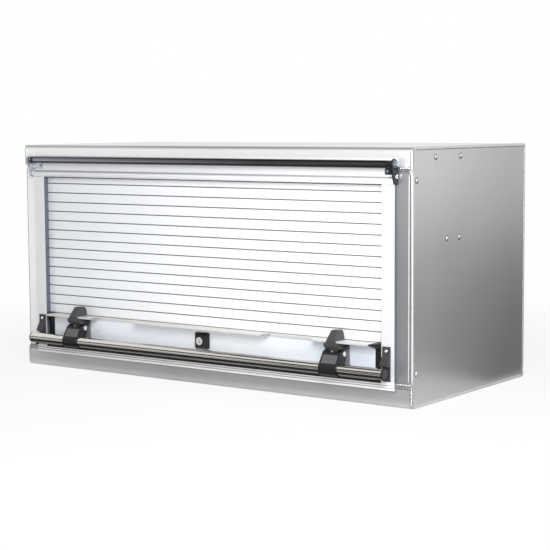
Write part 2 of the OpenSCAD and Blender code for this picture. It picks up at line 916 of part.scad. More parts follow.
// Moulding on the rail: pad, hook over the ledge, jaw under it and the lug for the arm
module clamp_base(x) {
    pad_t = 5;
    pad_z = sill_top + 16;
    pad_flare = 4;
    hook_front = ledge_y - hook_wall;
    jaw_z = pivot_z + knuckle_r + 1;
    jaw_chamfer = 7;
    crown = rail_top + hook_top;
    crown_y = rail_y - 20;
    crown_drop = 6;
    hook_back_y = slat_y - 2;
    color([0.10, 0.10, 0.10])
        difference() {
            union() {
                translate([x, rail_y, 0])
                    rotate([90, 0, 0])
                        linear_extrude(pad_t)
                            taper(clamp_w + 2 * pad_flare, pad_z, clamp_w, ledge_z);
                along_x(x - jaw_w / 2, x + jaw_w / 2)
                    polygon([[rail_y, jaw_z], [hook_front + jaw_chamfer, jaw_z],
                             [hook_front, jaw_z + jaw_chamfer], [hook_front, ledge_z],
                             [rail_y, ledge_z]]);
                intersection() {
                    along_x(x - hook_w, x + hook_w)
                        difference() {
                            polygon([[rail_y, jaw_z], [hook_front + jaw_chamfer, jaw_z],
                                     [hook_front, jaw_z + jaw_chamfer],
                                     [hook_front, rail_top + 1], [crown_y, crown],
                                     [rail_y, crown], [hook_back_y, crown - crown_drop],
                                     [hook_back_y, rail_top], [rail_y, rail_top]]);
                            rect([ledge_y, ledge_z], [rail_y + over, rail_top]);
                        }
                    translate([x, slat_y, 0])
                        rotate([90, 0, 0])
                            linear_extrude(slat_y - hook_front + over)
                                union() {
                                    taper(hook_w, ledge_z - eps, crown_w, crown + eps);
                                    taper(hook_w, jaw_z, hook_w, ledge_z);
                                }
                }
                along_x(x - pin_lug_w / 2, x + pin_lug_w / 2) {
                    translate([pivot_y, pivot_z]) circle(knuckle_r);
                    rect([pivot_y, pivot_z - knuckle_r], [rail_y, pivot_z + knuckle_r]);
                }
            }
            rod(pivot_y, pivot_z, pin_d, x - clamp_w, x + clamp_w);
        }
}

// Outline that goes from one width and height to another, even on both sides
module taper(low_w, low_z, high_w, high_z) {
    polygon([[-low_w / 2, low_z], [low_w / 2, low_z],
             [high_w / 2, high_z], [-high_w / 2, high_z]]);
}

// Pins that the arms swing on, with a round head outside each ear
module clamp_pins() {
    out = arm_w / 2 + seat;
    color([0.80, 0.80, 0.81])
        for (x = [-clamp_x, clamp_x]) {
            rod(pivot_y, pivot_z, pin_d, x - out - over, x + out + over);
            for (side = [-1, 1])
                translate([x + side * (out + pin_head_t / 2), 0, 0])
                    rod(pivot_y, pivot_z, pin_head_d, -pin_head_t / 2, pin_head_t / 2);
        }
}

// Arm whose two ears hang from the pin and whose sleeve grips the lift bar. Its top runs
// forward to an edge over a flat front face, which has a shallow place for a label
module clamp_arm(x) {
    pivot = [pivot_y, pivot_z];
    bar = [bar_y, bar_z];
    ear_r = knuckle_r - 0.5;
    sleeve_r = bar_d / 2 + arm_wall;
    brow = pivot + [-14, 3.5];
    brow_back = tangent_point(brow, pivot, ear_r, -1);
    face_end = tangent_point(brow, bar, sleeve_r, 1);
    face_run = face_end - brow;
    out = (face_end - bar) / sleeve_r;
    label = [0.18, 0.86];
    label_depth = 0.8;
    label_margin = 4;
    slot_half = pin_lug_w / 2 + ear_gap;
    color([0.12, 0.12, 0.12])
        difference() {
            along_x(x - arm_w / 2, x + arm_w / 2) {
                strap_outline(pivot, ear_r, bar, sleeve_r);
                polygon([pivot, brow_back, brow, face_end, bar]);
            }
            rod(bar_y, bar_z, bar_d, x - arm_w, x + arm_w);
            rod(pivot_y, pivot_z, pin_d + 2 * fit, x - arm_w, x + arm_w);
            along_x(x - slot_half, x + slot_half) {
                translate(pivot) circle(knuckle_r + ear_gap);
                rect([pivot_y, pivot_z - knuckle_r - ear_gap], [rail_y, pivot_z + knuckle_r]);
            }
            along_x(x - arm_w / 2 + label_margin, x + arm_w / 2 - label_margin)
                polygon([brow + label[0] * face_run + over * out,
                         brow + label[1] * face_run + over * out,
                         brow + label[1] * face_run - label_depth * out,
                         brow + label[0] * face_run - label_depth * out]);
        }
}

// Stainless tube across the whole doorway, with a hole under each end for the cap's stub
module lift_bar() {
    color([0.72, 0.71, 0.68])
        difference() {
            rod(bar_y, bar_z, bar_d, -bar_half, bar_half);
            rod(bar_y, bar_z, bar_d - 2 * bar_wall, -bar_half - over, bar_half + over);
            for (side = [-1, 1])
                translate([side * stub_x, 0, 0]) bar_stub();
        }
}

// Cap in the bar's end, with the stub that comes out under the bar
module bar_end() {
    color([0.09, 0.09, 0.09]) {
        rod(bar_y, bar_z, bar_d - 2 * bar_wall, stub_x - stub_d, bar_half + over);
        rod(bar_y, bar_z, bar_d, bar_half, bar_half + cap_t);
        translate([stub_x, 0, 0]) bar_stub();
    }
}

module bar_stub() {
    translate([0, bar_y, bar_z - bar_d / 2 - stub_drop])
        cylinder(h = bar_d / 2, d = stub_d);
}

body_wrap();
on_left() side_panel();  // side_panel_left
side_panel();  // side_panel_right
on_left() guide();  // guide_left
guide();  // guide_right
on_left() guide_seal();  // guide_seal_left
guide_seal();  // guide_seal_right
header_rail();
header_seal();
sill_rail();
on_left() striker();  // striker_left
striker();  // striker_right
on_left() header_bracket();  // header_bracket_left
header_bracket();  // header_bracket_right
header_roller();
roller_plugs();
roller_bolts();
on_left() drum_bracket();  // drum_bracket_left
drum_bracket();  // drum_bracket_right
drum_axle();
drum_tube();
drum_plugs();
drum_spring();
strap_turns();
leader_straps();
panel_rivets();
for (row = [1:curtain_rows])
    slat(row);
bottom_rail();
on_left() rail_end();  // rail_end_left
rail_end();  // rail_end_right
bottom_seal();
lock_housing();
lock_cylinder();
lock_cam();
clamp_base(-clamp_x);  // clamp_base_left
clamp_base(clamp_x);  // clamp_base_right
clamp_pins();
lift_bar();
on_left() bar_end();  // bar_end_left
bar_end();  // bar_end_right
clamp_arm(-clamp_x);  // clamp_arm_left
clamp_arm(clamp_x);  // clamp_arm_right
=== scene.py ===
"""Dresses the roll front tool cabinet: finishes for its metal and mouldings, rounded edges,
weld beads and screws, and the studio that it is photographed in."""
import json
import math

import bmesh
import bpy
from mathutils import Matrix, Vector

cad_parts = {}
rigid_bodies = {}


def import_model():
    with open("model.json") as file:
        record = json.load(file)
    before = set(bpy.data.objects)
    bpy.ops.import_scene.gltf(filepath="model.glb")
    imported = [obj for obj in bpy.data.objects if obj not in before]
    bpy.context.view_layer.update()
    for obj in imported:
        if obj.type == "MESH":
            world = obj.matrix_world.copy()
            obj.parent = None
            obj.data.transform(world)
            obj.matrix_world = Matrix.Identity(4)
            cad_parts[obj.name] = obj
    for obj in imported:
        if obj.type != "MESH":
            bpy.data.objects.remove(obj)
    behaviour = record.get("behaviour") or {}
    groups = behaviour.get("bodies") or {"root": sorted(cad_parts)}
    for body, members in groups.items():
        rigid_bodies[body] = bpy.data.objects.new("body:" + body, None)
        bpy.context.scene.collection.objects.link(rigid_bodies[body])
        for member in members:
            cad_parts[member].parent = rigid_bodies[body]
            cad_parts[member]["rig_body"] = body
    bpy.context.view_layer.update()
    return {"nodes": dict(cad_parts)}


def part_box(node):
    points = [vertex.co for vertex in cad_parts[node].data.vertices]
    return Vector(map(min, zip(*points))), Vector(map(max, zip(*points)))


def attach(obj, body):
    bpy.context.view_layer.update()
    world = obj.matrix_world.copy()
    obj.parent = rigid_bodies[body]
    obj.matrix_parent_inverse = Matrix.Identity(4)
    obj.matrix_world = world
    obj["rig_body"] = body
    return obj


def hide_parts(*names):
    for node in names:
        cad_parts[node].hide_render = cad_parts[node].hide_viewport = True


bl_info = {
    "name": "Roll front tool cabinet",
    "version": (1, 0, 0),
    "blender": (4, 5, 0),
    "location": "View3D > Sidebar > Cabinet",
    "description": "Finishes, edges, welds and screws of a roll front tool cabinet",
    "category": "Object",
}

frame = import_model()
NODES = frame["nodes"]
SIDES = ("left", "right")
SLATS = sorted(name for name in NODES if name.startswith("slat_"))


# ---------------------------------------------------------------- settings

def colour(label, words, default):
    """A colour that the user can change."""
    return bpy.props.FloatVectorProperty(name=label, description=words, default=default,
                                         subtype="COLOR", size=3, min=0, max=1)


def length(label, words, default):
    """A length that the user can change, in metres."""
    return bpy.props.FloatProperty(name=label, description=words, default=default,
                                   subtype="DISTANCE", unit="LENGTH", min=0)


class CabinetFinishes(bpy.types.PropertyGroup):
    """Colours of the cabinet's finishes."""
    sheet: colour("Sheet", "Mill-finish sheet of the side panels", (0.50, 0.495, 0.49))
    wrap: colour("Wrap", "Mill-finish sheet of the top, back and bottom",
                 (0.55, 0.55, 0.55))
    extrusion: colour("Extrusion", "Satin anodised guides, header and sill",
                      (0.83, 0.84, 0.86))
    slat: colour("Slats", "Satin anodised curtain", (0.84, 0.85, 0.86))
    stainless: colour("Stainless", "Polished tube of the lift bar", (0.70, 0.675, 0.64))
    plated: colour("Plated steel", "Bright screws, bolts and pins", (0.78, 0.78, 0.77))
    zinc: colour("Zinc", "Brackets, axle and cam inside", (0.58, 0.59, 0.61))
    moulding: colour("Moulding", "Black moulded clamps, strikers and caps",
                     (0.009, 0.009, 0.010))
    tube: colour("Header tube", "Dark satin tube in front of the header",
                 (0.045, 0.045, 0.048))
    rubber: colour("Rubber", "Seals", (0.022, 0.022, 0.022))
    webbing: colour("Webbing", "Straps on the drum", (0.045, 0.045, 0.05))
    sill: colour("Sill", "Pale satin of the sill", (0.96, 0.97, 0.99))
    weld: colour("Weld", "Rough weld beads", (0.42, 0.42, 0.43))
    dressed: colour("Dressed weld", "Weld beads that were brushed smooth",
                    (0.62, 0.62, 0.62))
    # Painted highlights: the bright strips along the folded jamb edges.
    fold_highlight: colour("Painted fold highlight", "Bright edges beside the folded seams",
                   (0.90, 0.90, 0.90))
    # Also paints the shadow line along each folded jamb edge and the shadow round the rivets'
    # heads.
    sealer: colour("Sealer", "Seams and the rivets' seats", (0.03, 0.03, 0.035))
    label: colour("Label plate", "Bare plates on the clamps", (0.11, 0.11, 0.115))
    blued: colour("Blued zinc", "Nuts and small screws at the header", (0.30, 0.34, 0.40))
    clamp: colour("Clamp base", "Grey moulding of the clamps' bases",
                  (0.045, 0.044, 0.043))


class CabinetDetails(bpy.types.PropertyGroup):
    """Sizes of the small pieces."""
    edge: length("Broken edge", "Width of the rounded edges on mouldings", 0.0009)
    sheet_edge: length("Sheet edge", "Width of the rounded edges on sheet", 0.0005)
    bead: length("Weld bead", "Width of a weld bead", 0.0062)
    ripple: length("Weld ripple", "Distance from one ripple of a bead to the next", 0.0042)
    screw: length("Screw head", "Diameter of the button screws' heads", 0.0085)


class CabinetStudio(bpy.types.PropertyGroup):
    """Floor, lamps and camera."""
    floor: length("Floor", "Width of the floor", 60.0)
    key: bpy.props.FloatProperty(name="Key lamp", description="Power of the key lamp",
                                 default=62.0, min=0, subtype="POWER", unit="POWER")
    sky: bpy.props.FloatProperty(name="Sky", description="Light of the surroundings",
                                 default=0.35, min=0, max=2, subtype="FACTOR")


# ---------------------------------------------------------------- materials

MIX_INPUTS, MIX_RESULT = (0, 6, 7), 2   # sockets of a mix node that mixes colours
GRAIN_LOW, GRAIN_HIGH = 0.1, 0.9        # noise below and above these isn't told apart


def put(tree, kind, **values):
    """Adds a node and sets its properties and inputs."""
    node = tree.nodes.new(kind)
    for key, value in values.items():
        label = key.replace("_", " ")
        if hasattr(node, key):
            setattr(node, key, value)
        elif isinstance(value, bpy.types.NodeSocket):
            tree.links.new(value, node.inputs[label])
        else:
            node.inputs[label].default_value = value
    return node


def grain(tree, place, stretch, scale, detail=3.0, rough=0.55):
    """Noise in the object's own space, stretched along its axes."""
    mapped = put(tree, "ShaderNodeMapping")
    mapped.inputs["Scale"].default_value = stretch
    tree.links.new(place, mapped.inputs["Vector"])
    return put(tree, "ShaderNodeTexNoise", Vector=mapped.outputs["Vector"], Scale=scale,
               Detail=detail, Roughness=rough).outputs["Fac"]


def span(tree, value, low, high):
    """Turns noise into low..high."""
    node = put(tree, "ShaderNodeMapRange")
    tree.links.new(value, node.inputs["Value"])
    node.inputs["From Min"].default_value = GRAIN_LOW
    node.inputs["From Max"].default_value = GRAIN_HIGH
    node.inputs["To Min"].default_value = low
    node.inputs["To Max"].default_value = high
    return node.outputs["Result"]


def mixed_colour(tree, share, first, second, **settings):
    """Mixes two colours. Each value is a socket or a constant."""
    node = put(tree, "ShaderNodeMix", data_type="RGBA", **settings)
    for place, value in zip(MIX_INPUTS, (share, first, second)):
        if isinstance(value, bpy.types.NodeSocket):
            tree.links.new(value, node.inputs[place])
        elif isinstance(value, tuple):
            node.inputs[place].default_value = (*value, 1)
        else:
            node.inputs[place].default_value = value
    return node.outputs[MIX_RESULT]


def shade(base, factor):
    """The same colour, darker or lighter."""
    return tuple(min(1.0, channel * factor) for channel in base)


def finish_of(name, base, metallic, rough, stretch=(1, 1, 1), fine=400.0, fine_depth=0.04,
              cloud=2.5, cloud_depth=0.05, bump=0.02, bump_distance=0.0004, wave=0.0,
              fades=(), specular=0.5, sheen=0.0):
    """A finish whose colour, roughness and height follow two layers of grain. Its fades go
    along an axis of the object, or with the way that the face looks."""
    material = bpy.data.materials.new(name)
    material.use_nodes = True
    tree = material.node_tree
    shader = tree.nodes["Principled BSDF"]
    place = put(tree, "ShaderNodeTexCoord").outputs["Object"]
    lines = grain(tree, place, stretch, fine)
    patches = grain(tree, place, (1, 1, 1), cloud, detail=2.0)
    depth = fine_depth + cloud_depth
    scaled = put(tree, "ShaderNodeMath", operation="MULTIPLY")
    tree.links.new(patches, scaled.inputs[0])
    scaled.inputs[1].default_value = cloud_depth / depth
    mixed = put(tree, "ShaderNodeMath", operation="MULTIPLY_ADD")
    tree.links.new(lines, mixed.inputs[0])
    mixed.inputs[1].default_value = fine_depth / depth
    tree.links.new(scaled.outputs[0], mixed.inputs[2])
    colour_out = mixed_colour(tree, span(tree, mixed.outputs[0], 0, 1),
                              shade(base, 1 - depth), shade(base, 1 + depth))
    facing = put(tree, "ShaderNodeNewGeometry").outputs["Normal"]
    for axis, *steps in fades:
        source = facing if axis.startswith("facing") else place
        colour_out = faded(tree, colour_out, source, axis[-1], *steps)
    tree.links.new(colour_out, shader.inputs["Base Color"])
    low, high = rough
    tree.links.new(span(tree, mixed.outputs[0], low, high), shader.inputs["Roughness"])
    raised = put(tree, "ShaderNodeBump")
    raised.inputs["Strength"].default_value = bump
    raised.inputs["Distance"].default_value = bump_distance
    tree.links.new(lines, raised.inputs["Height"])
    if wave:
        swell = put(tree, "ShaderNodeBump")
        swell.inputs["Strength"].default_value = 1.0
        swell.inputs["Distance"].default_value = wave
        tree.links.new(grain(tree, place, (1, 1, 0.6), 3.2, detail=1.0),
                       swell.inputs["Height"])
        tree.links.new(swell.outputs["Normal"], raised.inputs["Normal"])
    tree.links.new(raised.outputs["Normal"], shader.inputs["Normal"])
    shader.inputs["Metallic"].default_value = metallic
    shader.inputs["Specular IOR Level"].default_value = specular
    shader.inputs["Sheen Weight"].default_value = sheen
    return material


def faded(tree, colour_out, place, axis, start, end, low, high):
    """Multiplies a colour by low before start on an axis, and by high after end."""
    parts = put(tree, "ShaderNodeSeparateXYZ")
    tree.links.new(place, parts.inputs[0])
    ramp = put(tree, "ShaderNodeMapRange")
    tree.links.new(parts.outputs[axis], ramp.inputs["Value"])
    ramp.inputs["From Min"].default_value = start
    ramp.inputs["From Max"].default_value = end
    factor = mixed_colour(tree, ramp.outputs["Result"], low, high)
    return mixed_colour(tree, 1, colour_out, factor, blend_type="MULTIPLY",
                        clamp_result=True)


def finish(name):
    """The finish of that name, made when it is first asked for."""
    made = bpy.data.materials.get(name)
    if made:
        return made
    look = bpy.context.scene.cabinet_finishes
    along_x, along_z = (0.02, 1, 1), (1, 1, 0.02)
    # The second colour is painted shade for the grooves between the slats.
    plain, painted_groove_shade = (1, 1, 1), (0.30, 0.30, 0.32)
    slat_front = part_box(SLATS[0])[0].y
    # Depths of the jamb faces, where the side panels get painted light and shade.
    jamb_face = (-0.2795, -0.272)
    # Depth behind which the sill gets painted shade.
    painted_sill_shade = (-0.2886, -0.2876)
    # Heights of the painted shade band in the fold along the top of the wrap.
    fold_foot, fold_head = (0.5920, 0.5940), (0.5982, 0.5994)
    # Heights of the painted shade line in the header's crease.
    crease_foot, crease_head = (0.5283, 0.5293), (0.5320, 0.5330)
    # Height above which the rail gets a painted reflection.
    ledge_top = (0.1412, 0.1422)
    along = dict(base=look.extrusion, metallic=0.3, rough=(0.30, 0.40), stretch=along_x,
                 fine=900.0, fine_depth=0.025, cloud_depth=0.02, bump=0.05)
    # Painted shade: faces that point to +X are darkened, on every part that uses this fade.
    painted_right_face_shade = ("facing X", 0.35, 0.85, plain, (0.5, 0.52, 0.56))
    sheet = dict(base=look.sheet, metallic=0.72, rough=(0.27, 0.38), stretch=(0.6, 0.04, 0.6),
                 fine=90.0, fine_depth=0.015, cloud=1.7, cloud_depth=0.05, bump=0.05,
                 wave=0.004)
    recipes = {
        # Painted light: the left side panel's jamb face is brightened.
        "mill sheet": dict(sheet, fades=[("Y", *jamb_face, (1.9, 1.9, 1.9), plain)]),
        # Painted light and shade: the right jamb face is darker and bluer, and the panel is
        # darker towards the rear and lighter towards the top.
        "mill sheet right": dict(sheet, fades=[
            ("Y", *jamb_face, (0.72, 0.74, 0.77), plain),
            ("Y", -0.2, 0.2, (1.12, 1.12, 1.12), (0.86, 0.86, 0.86)),
            ("Z", 0.35, 0.55, (0.96, 0.96, 0.96), (1.10, 1.10, 1.09))]),
        # Painted light and shade: the wrap is lighter at its left end and towards the top, with
        # a painted shade band in the fold along its top edge.
        "mill wrap": dict(base=look.wrap, metallic=0.6, rough=(0.25, 0.36),
                          stretch=(0.04, 0.6, 0.6), fine=90.0, fine_depth=0.015,
                          cloud=1.7, cloud_depth=0.04, bump=0.05, wave=0.001,
                          fades=[("X", -0.6, -0.1, (1.35, 1.35, 1.35), plain),
                                 ("Z", 0.05, 0.56, (0.95, 0.96, 0.98), (1.75, 1.75, 1.75)),
                                 ("Z", *fold_foot, plain, (0.46, 0.445, 0.42)),
                                 ("Z", *fold_head, plain, (1.7, 1.76, 1.86))]),
        "anodised along": dict(along, fades=[painted_right_face_shade]),
        # Painted shade: the sill is darkened behind its front face, where the bar and seal
        # shade it.
        "anodised sill": dict(along, base=look.sill, metallic=0.05,
                              fades=[("Y", *painted_sill_shade, plain, (0.5, 0.5, 0.52)),
                                     painted_right_face_shade]),
        # Painted light and shade: the header gets lighter towards the right, and a painted
        # shade line lies in the crease between its plate and its nose.
        "anodised header": dict(along, fades=[
            ("X", -0.4, 0.3, plain, (1.18, 1.18, 1.18)),
            ("Z", *crease_foot, plain, (0.50, 0.50, 0.51)),
            ("Z", *crease_head, plain, (2.0, 2.0, 1.96)), painted_right_face_shade]),
        # Painted light: the rail is lightest near its middle and bluer at the right. Above the
        # ledge's top it is darker and warmer, a painted reflection.
        "anodised rail": dict(along, fades=[
            ("X", -0.5, 0, (1.05, 1.05, 1.05), (1.15, 1.15, 1.15)),
            ("X", 0.1, 0.5, plain, (0.90, 0.93, 0.97)),
            ("Z", *ledge_top, (0.97, 0.99, 1.03), (0.78, 0.755, 0.72)), painted_right_face_shade]),
        # Painted shade: the left guide is a little darker, and faces that point to +X are much
        # darker.
        "anodised upright": dict(base=look.extrusion, metallic=0.3, rough=(0.26, 0.36),
                                 stretch=along_z, fine=700.0, fine_depth=0.012,
                                 cloud_depth=0.02, bump=0.015,
                                 fades=[("X", -0.55, 0, (0.90, 0.90, 0.90), plain),
                                        ("facing X", 0.35, 0.85, plain, (0.17, 0.19, 0.23))]),
        # Painted light and shade: the curtain gets lighter to the right and darker towards the
        # top. The slats are darkened behind their front face, as painted shade in the grooves.
        "anodised slat": dict(base=look.slat, metallic=0.2, rough=(0.26, 0.36),
                              stretch=along_x, fine=700.0, fine_depth=0.006,
                              cloud_depth=0.02, bump=0.004,
                              fades=[("X", -0.5, -0.05, (0.96, 0.97, 0.99),
                                      (1.10, 1.10, 1.10)),
                                     ("Z", 0.25, 0.45, (1.02, 1.02, 1.02),
                                      (0.96, 0.96, 0.97)),
                                     ("Y", slat_front + 0.0002, slat_front + 0.0008,
                                      plain, painted_groove_shade)]),
        # Painted shade: the tube's downward-facing half is darkened, and its underside most.
        "stainless tube": dict(base=look.stainless, metallic=1.0, rough=(0.10, 0.17),
                               stretch=(1, 0.05, 0.05), fine=1600.0, fine_depth=0.05,
                               cloud_depth=0.02, bump=0.03,
                               fades=[("facing Z", -0.05, 0.12, (0.5, 0.5, 0.5), plain),
                                      ("facing Z", -0.78, -0.62, (0.3, 0.3, 0.3), plain)]),
        "bright plating": dict(base=look.plated, metallic=1.0, rough=(0.16, 0.26),
                               fine=700.0, fine_depth=0.03, cloud_depth=0.02),
        "zinc plating": dict(base=look.zinc, metallic=0.9, rough=(0.34, 0.48),
                             fine=260.0, fine_depth=0.06, cloud=14.0, cloud_depth=0.08),
        "spring steel": dict(base=shade(look.zinc, 0.55), metallic=0.9, rough=(0.32, 0.42),
                             stretch=(1, 0.1, 0.1), fine=500.0),
        "weld metal": dict(base=look.weld, metallic=0.9, rough=(0.20, 0.34),
                           fine=420.0, fine_depth=0.2, cloud=330.0, cloud_depth=0.5,
                           bump=0.3),
        "dressed weld": dict(sheet, base=look.dressed, cloud=60.0, cloud_depth=0.10,
                             wave=0.0),
        # Painted highlight strips at both edges of each jamb's bend.
        "painted fold highlight": dict(base=look.fold_highlight, metallic=0.4, rough=(0.25, 0.35),
                            stretch=along_z, fine=300.0, fine_depth=0.04),
        # Dark sealer that also paints shadow lines at the seams and round the rivets.
        "sealer and painted shadow": dict(base=look.sealer, metallic=0.0, rough=(0.5, 0.7),
                            stretch=along_z, fine=260.0, fine_depth=0.3, cloud=90.0,
                            cloud_depth=0.3, bump=0.2),
        "black moulding": dict(base=look.moulding, metallic=0.0, rough=(0.36, 0.48),
                               fine=1400.0, fine_depth=0.12, cloud=22.0, cloud_depth=0.08,
                               bump=0.25, bump_distance=0.0002, specular=0.32),
        "label plate": dict(base=look.label, metallic=0.3, rough=(0.30, 0.38),
                            fine=900.0, fine_depth=0.08, cloud_depth=0.05, bump=0.03),
        "blued zinc": dict(base=look.blued, metallic=0.7, rough=(0.24, 0.34),
                           fine=420.0, fine_depth=0.08, cloud=60.0, cloud_depth=0.12),
        # Painted light and shade: the left bracket keeps its bright plating, and the right one
        # is darkened almost to black.
        "bracket plating": dict(base=shade(look.zinc, 0.8), metallic=0.9, rough=(0.24, 0.34),
                                fine=420.0, fine_depth=0.06, cloud=40.0, cloud_depth=0.10,
                                fades=[("X", -0.4, 0.4, (0.95, 0.98, 1.02),
                                        (0.10, 0.105, 0.12))]),
        "rivet plating": dict(base=shade(look.plated, 1.12), metallic=1.0, rough=(0.08, 0.14),
                              fine=500.0, fine_depth=0.03, cloud_depth=0.02),
        # Painted light and shade: the tube is much lighter towards its left end, and its top
        # and underside are darkened, which leaves a painted highlight band along its front.
        "dark tube": dict(base=look.tube, metallic=0.7, rough=(0.22, 0.30),
                          stretch=along_x, fine=900.0, fine_depth=0.08,
                          cloud_depth=0.04, bump=0.04,
                          fades=[("X", -0.6, 0.2, (7.5, 7.5, 8.3), (1.4, 1.4, 1.35)),
                                 ("facing Z", -0.5, -0.25, (0.16, 0.16, 0.16), plain),
                                 ("facing Z", 0.25, 0.5, plain, (0.2, 0.2, 0.2))]),
        "grey moulding": dict(base=shade(look.moulding, 4.2), metallic=0.0,
                              rough=(0.45, 0.58), fine=1400.0, fine_depth=0.12, cloud=22.0,
                              cloud_depth=0.08, bump=0.25, bump_distance=0.0002),
        "clamp moulding": dict(base=look.clamp, metallic=0.0,
                               rough=(0.45, 0.58), fine=1400.0, fine_depth=0.12, cloud=22.0,
                               cloud_depth=0.08, bump=0.25, bump_distance=0.0002,
                               fades=[("Z", 0.118, 0.134, (3.6, 3.7, 4.0), plain)]),
        "black rubber": dict(base=look.rubber, metallic=0.0, rough=(0.62, 0.78),
                             fine=800.0, fine_depth=0.12, bump=0.2),
        "strap webbing": dict(base=look.webbing, metallic=0.0, rough=(0.75, 0.9),
                              stretch=(1, 0.3, 0.3), fine=1200.0, fine_depth=0.25,
                              bump=0.6, sheen=0.3),
    }
    return finish_of(name, **recipes[name])


def dress(node, name):
    """Gives a CAD node its finish."""
    wear(NODES[node], name)


def wear(piece, name):
    """Gives a piece its finish."""
    slots = piece.data.materials
    slots.clear()
    slots.append(finish(name))


# ---------------------------------------------------------------- meshes

def piece_from(bm, name, finish_name, body, smooth=False):
    """Turns a bmesh into a piece that rides on a body."""
    bmesh.ops.recalc_face_normals(bm, faces=bm.faces)
    mesh = bpy.data.meshes.new(name)
    bm.to_mesh(mesh)
    bm.free()
    for face in mesh.polygons:
        face.use_smooth = smooth
    piece = bpy.data.objects.new(name, mesh)
    bpy.context.scene.collection.objects.link(piece)
    wear(piece, finish_name)
    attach(piece, body)
    return piece


def softened(node, finish_name, width, segments=2):
    """Replaces a CAD node by a copy whose sharp edges are rounded."""
    source = NODES[node]
    bm = bmesh.new()
    bm.from_mesh(source.data)
    bmesh.ops.remove_doubles(bm, verts=bm.verts, dist=1e-6)
    bmesh.ops.dissolve_limit(bm, angle_limit=math.radians(0.5), verts=bm.verts,
                             edges=bm.edges)
    piece = piece_from(bm, node + "_soft", finish_name, source["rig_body"],
                       smooth=True)
    edges = piece.modifiers.new("rounded edges", "BEVEL")
    edges.width = width
    edges.segments = segments
    edges.limit_method = "ANGLE"
    edges.angle_limit = math.radians(28)
    flats = piece.modifiers.new("flat faces", "WEIGHTED_NORMAL")
    flats.weight = 100
    apply_modifiers(piece)
    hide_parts(node)
    return piece


def apply_modifiers(piece):
    """Turns a piece's modifiers into plain mesh."""
    plain = bpy.data.meshes.new_from_object(
        piece.evaluated_get(bpy.context.evaluated_depsgraph_get()))
    plain.name = piece.name
    piece.modifiers.clear()
    piece.data = plain


def islands(node):
    """Boxes of the separate parts of a CAD node, as [low, high] corners."""
    bm = bmesh.new()
    bm.from_mesh(NODES[node].data)
    bmesh.ops.remove_doubles(bm, verts=bm.verts, dist=1e-6)
    waiting, boxes = set(bm.verts), []
    while waiting:
        reached, found = [waiting.pop()], []
        while reached:
            vert = reached.pop()
            found.append(vert.co)
            near = {edge.other_vert(vert) for edge in vert.link_edges} & waiting
            waiting -= near
            reached.extend(near)
        boxes.append([Vector(pick(co[axis] for co in found) for axis in range(3))
                      for pick in (min, max)])
    bm.free()
    return sorted(boxes, key=lambda box: tuple(round(value, 4) for value in box[0]))


def frame_on(normal, along):
    """Matrix whose Z points along normal and X along the given direction."""
    up = Vector(normal).normalized()
    right = Vector(along).normalized()
    front = up.cross(right).normalized()
    right = front.cross(up)
    return Matrix((right, front, up)).transposed().to_4x4()


def weld_bead(name, start, end, normal, width, height, pitch, body="cabinet", seed=0.0,
              ripple=0.3, finish_name="weld metal"):
    """A run of overlapping ripples from start to end, lying on the face with that normal."""
    start, end = Vector(start), Vector(end)
    run = end - start
    up = Vector(normal).normalized()
    across = up.cross(run).normalized()
    per_ripple, arc = 6, 8
    count = max(2, round(run.length / pitch)) * per_ripple
    bm = bmesh.new()
    rings = []
    for step in range(count + 1):
        share = step / count
        phase = (step % per_ripple) / per_ripple
        index = step // per_ripple
        swell = 1 - ripple * (2 * phase - 1) ** 2
        wander = 0.10 * math.sin(index * 2.399 + seed) + 0.06 * math.sin(index * 5.71 + seed)
        taper = min(1.0, 0.35 + min(step, count - step) / per_ripple)
        centre = start + run * share + across * width * 0.25 * wander
        reach = width / 2 * (0.86 + 0.14 * swell) * (1 + 0.5 * wander) * taper
        rise = height * swell * (1 + wander) * taper
        ring = []
        for turn in range(arc + 1):
            angle = math.pi * turn / arc
            ring.append(bm.verts.new(centre + across * reach * math.cos(angle)
                                     + up * rise * math.sin(angle)))
        for turn in (1, 0):
            side = 1 if turn == 0 else -1
            ring.append(bm.verts.new(centre + across * reach * side - up * 0.0004))
        rings.append(ring)
    size = len(rings[0])
    for first, second in zip(rings, rings[1:]):
        for turn in range(size):
            after = (turn + 1) % size
            bm.faces.new((first[turn], first[after], second[after], second[turn]))
    bm.faces.new(rings[0])
    bm.faces.new(list(reversed(rings[-1])))
    return piece_from(bm, name, finish_name, body, smooth=True)


def lathe(bm, profile, place, around=28, hexed=()):
    """Closed solid turned about Z. Rings named in hexed are six-sided."""
    rings = []
    for index, (radius, height) in enumerate(profile):
        ring = []
        for turn in range(around):
            angle = 2 * math.pi * turn / around
            reach = radius
            if index in hexed:
                within = (angle + math.pi / 6) % (math.pi / 3) - math.pi / 6
                reach = radius * math.cos(math.pi / 6) / math.cos(within)
            ring.append(bm.verts.new(place @ Vector((reach * math.cos(angle),
                                                     reach * math.sin(angle), height))))
        rings.append(ring)
    for first, second in zip(rings, rings[1:]):
        for turn in range(around):
            after = (turn + 1) % around
            bm.faces.new((first[turn], first[after], second[after], second[turn]))
    bm.faces.new(rings[0])
    bm.faces.new(rings[-1])


def button_screw(name, at, normal, size, body, finish_name="bright plating"):
    """Domed screw head with a six-sided recess, standing on a face."""
    place = Matrix.Translation(Vector(at)) @ frame_on(normal, (0.31, 0.2, 0.93))
    r = size / 2
    bm = bmesh.new()
    lathe(bm, [(r * 0.98, -0.0002), (r, 0.0002), (r * 0.97, 0.0008), (r * 0.88, r * 0.24),
               (r * 0.70, r * 0.34), (r * 0.50, r * 0.38), (r * 0.46, r * 0.36),
               (r * 0.44, r * 0.10)], place, hexed=(6, 7))
    return piece_from(bm, name, finish_name, body)


